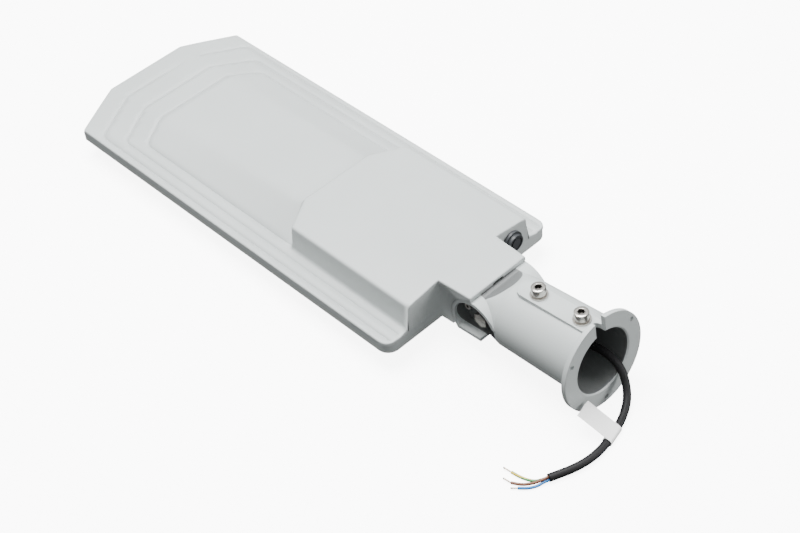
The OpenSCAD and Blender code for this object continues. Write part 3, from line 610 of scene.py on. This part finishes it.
def surfaceHeight(s, pts, lines):
    x, y = np.abs(pts[:, 0]), pts[:, 1]
    roof, top = roofHeight(s, x, y), humpHeight(s, x, y)
    inset = np.where(insideHump(s, x, y), 1, -1) * distanceTo(pts, lines["hump"])
    # The foot's and the crest's rounding shrink where the hump is low
    soft = np.minimum(1, np.maximum(top - roof, 0.01) / s["fullWall"])
    f, c, draft = s["footRound"], s["crestRound"], s["draft"]
    foot = np.interp(inset, [-d * f for d, _ in reversed(roundProfile)],
                     [h * f for _, h in reversed(roundProfile)])
    drop = np.interp(inset, [draft + d * c for d, _ in roundProfile],
                     [h * c for _, h in roundProfile])
    low, high = roof + foot * soft, top - drop * soft
    wall = low + (high - low) * np.clip(inset / draft, 0, 1)
    height = np.where(inset <= 0, low, np.where(inset >= draft, high, wall))
    # The inner groove fades out at the hump, and the outer one along the tip's right half
    start, run = s["humpFade"]
    tipStart, tipRun = s["tipFade"]
    for i, line in enumerate(lines["grooves"]):
        away = distanceTo(pts, line) / (s["grooveWidth"] / 2)
        shape = np.interp(away, *zip(*grooveProfile))
        if i == 2:
            shape *= np.clip((y - s["humpCorner"] - start) / run, 0, 1)
        if i == 0:
            atTip = y > s["length"] - tipRun
            shape *= 1 - np.clip((pts[:, 0] - tipStart) / tipRun, 0, 1) * atTip
        height -= shape * s["grooveDepth"]
    edge = distanceTo(pts, lines["edge"] + lines["edge"][:1])
    r = s["edgeRound"]
    near = np.clip(r - edge, 0, r)
    return height - (r - np.sqrt(np.maximum(r * r - near * near, 0)))


def gridPoints(s, lines):
    # Points of an even grid in the outline, away from the lines that have rings
    half, step = s["gridHalf"], s["gridStep"]
    grid = np.array([(gx, gy) for gx in np.arange(-half, half, step)
                     for gy in np.arange(s["gridFrom"], s["gridTo"], step)])
    free = distanceTo(grid, lines["edge"] + lines["edge"][:1]) > s["clearEdge"]
    for groove in lines["grooves"]:
        free &= distanceTo(grid, groove) > s["clearGroove"]
    free &= distanceTo(grid, lines["hump"]) > s["clearHump"]
    inHead = (grid[:, 1] > s["rear"]) | (np.abs(grid[:, 0]) < s["neckHalf"] - 2)
    beyond = np.maximum(0, np.abs(grid[:, 0]) - s["tipHalf"])
    inHead &= grid[:, 1] < s["length"] - 2 - beyond * tipSlope(s)
    return grid[free & inHead]


def planMesh(s, lines):
    # Flat triangles over the plan, with rings of points where the surface bends
    points, segments = [], []

    def addLine(line, closed=False, fromY=None):
        last = None
        first = len(points)
        for p in line:
            if fromY is not None and p[1] <= fromY:
                last = None
                continue
            points.append(Vector((p[0], p[1])))
            if last is not None:
                segments.append((last, len(points) - 1))
            last = len(points) - 1
        if closed:
            segments.append((last, first))
        return first, len(points)

    loop = resample(lines["edge"] + lines["edge"][:1], s["lineStep"])[:-1]
    outer = list(range(*addLine(loop)))
    for d in edgeRings:
        addLine(offsetLine(loop, d * s["edgeRound"] / edgeRings[-1], True), closed=True)
    rear = s["rear"] + s["lineStart"]
    for i, groove in enumerate(lines["grooves"]):
        fine = resample(groove, s["lineStep"])
        for d in grooveRings:
            addLine(offsetLine(fine, d * s["grooveWidth"] / 2),
                    fromY=s["humpCorner"] if i == 2 else rear)
    fineHump = resample(lines["hump"], s["lineStep"])
    footRings = [-d * s["footRound"] for d, _ in reversed(roundProfile)]
    crestRings = [s["draft"] + d * s["crestRound"] for d, _ in roundProfile]
    for d in footRings + crestRings:
        addLine(offsetLine(fineHump, d), fromY=rear - 0.4)      # a little past the grooves
    points += [Vector((gx, gy)) for gx, gy in gridPoints(s, lines)]
    verts, _, faces, _, _, _ = delaunay_2d_cdt(points, segments, [outer], 1, 1e-4)
    return np.array([(v[0], v[1]) for v in verts]), faces


def housingSkin(s):
    lines = {"edge": housingOutline(s), "hump": humpLine(s),
             "grooves": [nestedLine(s, *g) for g in s["grooves"]]}
    flat, faces = planMesh(s, lines)
    heights = surfaceHeight(s, flat, lines)
    bm = bmesh.new()
    made = [bm.verts.new(Vector((p[0], p[1], h)) / 1000 + tiltAxis)
            for p, h in zip(flat, heights)]
    for face in faces:
        try:
            newFace = bm.faces.new([made[i] for i in face])
        except ValueError:           # the same face twice
            continue
        newFace.normal_update()
        if newFace.normal.z < 0:
            newFace.normal_flip()
    bm.normal_update()
    # Skirt down the edge, behind which the casting's walls begin
    rim = [e for e in bm.edges if len(e.link_faces) == 1]
    below = {}
    for v in (v for e in rim for v in e.verts):
        if v not in below:
            onHead = (v.co.y - tiltAxis.y) * 1000 > s["rear"] - 1
            below[v] = bm.verts.new(v.co)
            below[v].co.z -= (s["skirt"] if onHead else s["neckSkirt"]) / 1000
    for a, b in (e.verts for e in rim):
        bm.faces.new((b, below[b], below[a], a))
    bmesh.ops.recalc_face_normals(bm, faces=bm.faces)
    if sum(f.normal.z * f.calc_area() for f in bm.faces) < 0:
        bmesh.ops.reverse_faces(bm, faces=bm.faces)
    mesh = bpy.data.meshes.new("housingSkin")
    bm.to_mesh(mesh)
    bm.free()
    mesh.materials.append(materials["paint"])
    for poly in mesh.polygons:
        poly.use_smooth = True
    print("housing skin:", len(mesh.polygons), "faces")
    return mesh


def housingBody(s):
    # The casting's walls, underside and inside, without the outer top
    mesh = nodes["housing"].data.copy()
    mesh.name = "housingBody"
    bm = bmesh.new()
    bm.from_mesh(mesh)
    bmesh.ops.remove_doubles(bm, verts=bm.verts, dist=2e-5)
    tree = BVHTree.FromBMesh(bm)
    upwards, lift = Vector((0, 0, 1)), Vector((0, 0, 2e-5))
    top = []
    for face in bm.faces:
        middle = face.calc_center_median()
        c = (middle - tiltAxis) * 1000
        # Upward faces of the roof and the hump, and of the plate over the neck
        if face.normal.z > 0.03 and c.z > -1.5 and (c.y > s["rear"] or c.z > 30):
            # Nothing of the casting lies above an outer face
            spots = [middle.lerp(v.co, 0.4) for v in face.verts]
            if all(tree.ray_cast(p + lift, upwards)[0] is None for p in spots):
                top.append(face)
    touched = {v for face in top for v in face.verts}
    bmesh.ops.delete(bm, geom=top, context="FACES")
    for v in touched:
        if v.is_valid and v.link_faces:
            atEdge = abs((v.co.z - tiltAxis.z) * 1000 - s["edge"]) < 0.15
            v.co.z -= (s["lowBorder"] if atEdge else s["highBorder"]) / 1000
    bm.to_mesh(mesh)
    bm.free()
    mesh.set_sharp_from_angle(angle=math.radians(s["sharp"]))
    print("housing body:", len(mesh.polygons), "faces,", len(top), "of the top left out")
    return mesh


def makeHousing(s):
    skin = addObject("housingSkin", housingSkin(s))
    body = addObject("housingBody", housingBody(s))
    for obj in (skin, body):
        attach(obj, "head")
    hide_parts("housing")


makeHousing(housingSet)


# Screws, mm; a head and a shank are each a radius and a length
screwSet = {
    "sides": 48, "sharp": 25,
    "clamp": {"head": (6.5, 8.0), "hex": 3.4, "depth": 4.4, "shank": (4.0, 6.1), "chamfer": 0.7},
    "clampPlaces": [20.5, 68.5], "clampSeat": 37.1,     # along and above the spigot's axis
    "lock": {"head": (3.5, 4.0), "hex": 1.8, "depth": 2.2, "shank": (2.0, 9.3), "chamfer": 0.4},
}


def circle(r, h, sides):
    turns = (2 * math.pi * k / sides for k in range(sides))
    return [(r * math.cos(a), r * math.sin(a), h) for a in turns]


def hexagon(r, h, sides):
    # r reaches to the corners
    out = []
    for k in range(sides):
        a = 2 * math.pi * k / sides
        toFlat = (a + math.pi / 6) % (math.pi / 3) - math.pi / 6
        reach = r * math.cos(math.pi / 6) / math.cos(toFlat)
        out.append((reach * math.cos(a), reach * math.sin(a), h))
    return out


def socketScrew(bm, place, ahead, s, sides):
    # Turned cap screw: place is under the head and ahead points out of the socket
    ahead = ahead.normalized()
    side = ahead.cross(Vector((0.3, 0.9, 0.1))).normalized()
    over = ahead.cross(side)
    headR, headH = s["head"]
    shankR, shankL = s["shank"]
    hexR, chamfer, bottom = s["hex"], s["chamfer"], headH - s["depth"]
    soft = chamfer * 0.35
    outside = [(shankR, -shankL), (shankR, 0), (headR - soft, 0), (headR, soft),
               (headR, headH - chamfer), (headR - chamfer * 0.3, headH - chamfer * 0.3),
               (headR - chamfer, headH), (hexR + chamfer * 0.8, headH)]
    rings = [circle(r, h, sides) for r, h in outside]
    rings += [hexagon(r, h, sides) for r, h in
              ((hexR + 0.12, headH - 0.1), (hexR, headH - 0.5), (hexR, bottom))]
    rings.append(circle(hexR * 0.4, bottom - 0.5, sides))
    made = [[bm.verts.new(place + (side * x + over * y + ahead * z) / 1000) for x, y, z in ring]
            for ring in rings]
    # Painted shade: the socket's inside walls and floor take the dark steel, standing in for the
    # shade in the hollow
    for row, (low, high) in enumerate(zip(made, made[1:])):
        for k in range(sides):
            n = (k + 1) % sides
            face = bm.faces.new((low[k], low[n], high[n], high[k]))
            face.material_index = int(row > len(outside))      # the socket's inside is dark
    bm.faces.new(made[0][::-1])
    bm.faces.new(made[-1]).material_index = 1


def screwPiece(name, node, places, ahead, s, sides, sharp):
    bm = bmesh.new()
    for place in places:
        socketScrew(bm, place, ahead, s, sides)
    bmesh.ops.recalc_face_normals(bm, faces=bm.faces)
    mesh = bpy.data.meshes.new(name)
    bm.to_mesh(mesh)
    bm.free()
    mesh.materials.append(materials["steel"])
    # second slot: the dark steel that paints shade into the sockets
    mesh.materials.append(materials["socketShade"])
    for poly in mesh.polygons:
        poly.use_smooth = True
    mesh.set_sharp_from_angle(angle=math.radians(sharp))
    obj = addObject(name, mesh)
    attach(obj, "spigot")
    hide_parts(node)


def makeScrews(s):
    clamps = [(spigotAxis * y + spigotUp * s["clampSeat"]) / 1000 for y in s["clampPlaces"]]
    screwPiece("clampScrews", "clamp_screws", clamps, spigotUp, s["clamp"], s["sides"],
               s["sharp"])
    # The lock screw's head is at the low X end of its box
    low, high = (Vector(v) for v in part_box("angle_lock_screw"))
    middle = (low + high) / 2
    lock = Vector((low.x + s["lock"]["head"][1] / 1000, middle.y, middle.z))
    screwPiece("lockScrew", "angle_lock_screw", [lock], Vector((-1, 0, 0)), s["lock"],
               s["sides"], s["sharp"])
    print("screws made")


makeScrews(screwSet)


# Floor and light; the floor's height is in mm, the rest in metres and watts
stageSet = {
    "floor": -46.7, "size": 6, "floorColour": (0.93, 0.93, 0.93), "glow": 7.0,
    "sky": 1.05, "ground": 0.22, "skyColour": (0.97, 0.99, 1, 1),
    "brightSide": (0.15, 0.1, 0.95), "fade": (-0.25, 0.95),
    "softboxes": {     # place, target, size, power
        "topSoftbox": ((0.05, 0.55, 1.9), (0, 0.25, 0), (1.2, 1.2), 118),
        "sideSoftbox": ((1.1, -1.5, 0.75), (0, 0.1, 0), (0.8, 0.7), 30),
    },
}


def makeFloor(s):
    mesh = bpy.data.meshes.new("floor")
    h, z = s["size"] / 2, s["floor"] / 1000 - 0.0002
    mesh.from_pydata([(-h, -h, z), (h, -h, z), (h, h, z), (-h, h, z)], [], [(0, 1, 2, 3)])
    obj = addObject("floor", mesh)
    mat, tree, shader = newMaterial("floorPaper")
    colour = rampOf(tree, noiseOf(tree, scale=3, detail=2),
                    [(0.3, scaled(s["floorColour"], 0.995)), (0.7, s["floorColour"])])
    tree.links.new(colour, shader.inputs["Base Color"])
    shader.inputs["Roughness"].default_value = 0.9
    shader.inputs["Emission Color"].default_value = (1, 1, 1, 1)
    shader.inputs["Emission Strength"].default_value = s["glow"]
    mesh.materials.append(mat)
    obj.visible_diffuse = False        # a bright floor would light the lamp from below
    obj.visible_glossy = False


def areaLight(name, place, target, size, power):
    light = bpy.data.lights.new(name, "AREA")
    light.shape = "RECTANGLE"
    light.size, light.size_y = size
    light.energy = power
    obj = addObject(name, light)
    obj.location = place
    obj.rotation_euler = (Vector(target) - Vector(place)).to_track_quat("-Z", "Y").to_euler()


def makeLight(s):
    world = bpy.data.worlds.new("softRoom")
    world.use_nodes = True
    tree = world.node_tree
    back = tree.nodes["Background"]
    back.inputs["Color"].default_value = s["skyColour"]
    # Brighter overhead and beyond the tip than behind the spigot
    towards = addNode(tree, "ShaderNodeVectorMath", operation="DOT_PRODUCT")
    towards.inputs[1].default_value = s["brightSide"]
    span = addNode(tree, "ShaderNodeMapRange")
    span.inputs["From Min"].default_value, span.inputs["From Max"].default_value = s["fade"]
    span.inputs["To Min"].default_value = s["ground"]
    span.inputs["To Max"].default_value = s["sky"]
    coords = addNode(tree, "ShaderNodeTexCoord")
    tree.links.new(coords.outputs["Generated"], towards.inputs[0])
    tree.links.new(towards.outputs["Value"], span.inputs["Value"])
    tree.links.new(span.outputs["Result"], back.inputs["Strength"])
    scene.world = world
    for name, softbox in s["softboxes"].items():
        areaLight(name, *softbox)


makeFloor(stageSet)
makeLight(stageSet)
print("floor and light made")
